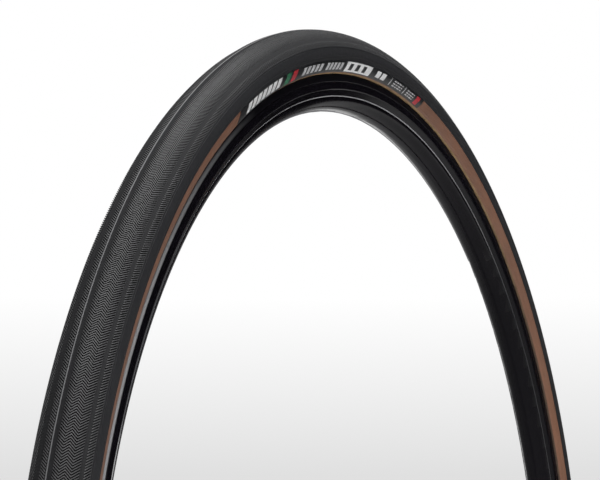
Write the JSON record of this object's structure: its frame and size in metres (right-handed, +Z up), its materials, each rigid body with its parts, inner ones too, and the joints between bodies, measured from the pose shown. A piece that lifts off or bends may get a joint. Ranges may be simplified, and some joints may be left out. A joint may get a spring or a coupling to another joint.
{
  "type": "bicycle tyre on a rim",
  "caption": "Slick road bicycle tyre with a brown sidewall, mounted and inflated on a shallow black rim with a tubeless valve.",
  "frame": {"origin": "the wheel's centre, on its axle line and midway between the rim's two sides", "axes": "+Y along the axle line, +Z up, with the valve at the bottom of the wheel pointing up at the axle"},
  "size_m": [0.682, 0.0288, 0.6818],
  "materials": {
    "tread": "matt black rubber with a fine moulded file pattern",
    "breaker_belt": "woven protection ribbon",
    "casing_outer_ply": "rubberised cotton cloth cut on the bias",
    "casing_inner_ply": "rubberised cotton cloth cut on the bias",
    "inner_liner": "smooth airtight rubber",
    "sidewall": "brown skin with the casing's bias threads showing through",
    "bead": "bundle of strong cords",
    "chafer": "tan woven strip",
    "label": "black printed transfer with plain slanted blocks and stripes",
    "rim": "glossy black",
    "valve_stem": "black anodised, threaded",
    "valve_gasket": "soft black rubber",
    "valve_lock_nut": "black anodised, knurled",
    "valve_o_ring": "soft black rubber",
    "valve_core": "plain turned brass",
    "valve_seal": "hard rubber",
    "valve_cap": "moulded black plastic"
  },
  "bodies": {
    "tyre_and_rim": {"tread": "tread", "breaker_belt": "breaker_belt", "casing_outer_ply": "casing_outer_ply", "casing_inner_ply": "casing_inner_ply", "inner_liner": "inner_liner", "sidewall_left": "sidewall", "sidewall_right": "sidewall", "bead_left": "bead", "bead_right": "bead", "chafer_left": "chafer", "chafer_right": "chafer", "label_left": "label", "label_right": "label", "rim": "rim", "valve_stem": "valve_stem", "valve_gasket": "valve_gasket", "valve_core_body": "valve_core", "valve_core_washer": "valve_seal"},
    "lock_nut": {"valve_lock_nut": "valve_lock_nut", "valve_o_ring": "valve_o_ring"},
    "thumb_nut": {"valve_thumb_nut": "valve_core"},
    "core_pin": {"valve_pin": "valve_core", "valve_pin_seal": "valve_seal"},
    "cap": {"valve_cap": "valve_cap"}
  },
  "joints": [
    {"name": "lock_nut_travel", "type": "slide", "parent": "tyre_and_rim", "child": "lock_nut", "axis": [0, 0, 1], "range_m": [0, 0.012]},
    {"name": "thumb_nut_travel", "type": "slide", "parent": "tyre_and_rim", "child": "thumb_nut", "axis": [0, 0, 1], "range_m": [0, 0.002]},
    {"name": "pin_press", "type": "slide", "parent": "tyre_and_rim", "child": "core_pin", "axis": [0, 0, 1], "range_m": [-0.0016, 0]},
    {"name": "cap_lift", "type": "slide", "parent": "tyre_and_rim", "child": "cap", "axis": [0, 0, 1], "range_m": [0, 0.04]}
  ],
  "couplings": [
    {"joint": "pin_press", "follows": "thumb_nut_travel", "ratio": -0.8}
  ]
}
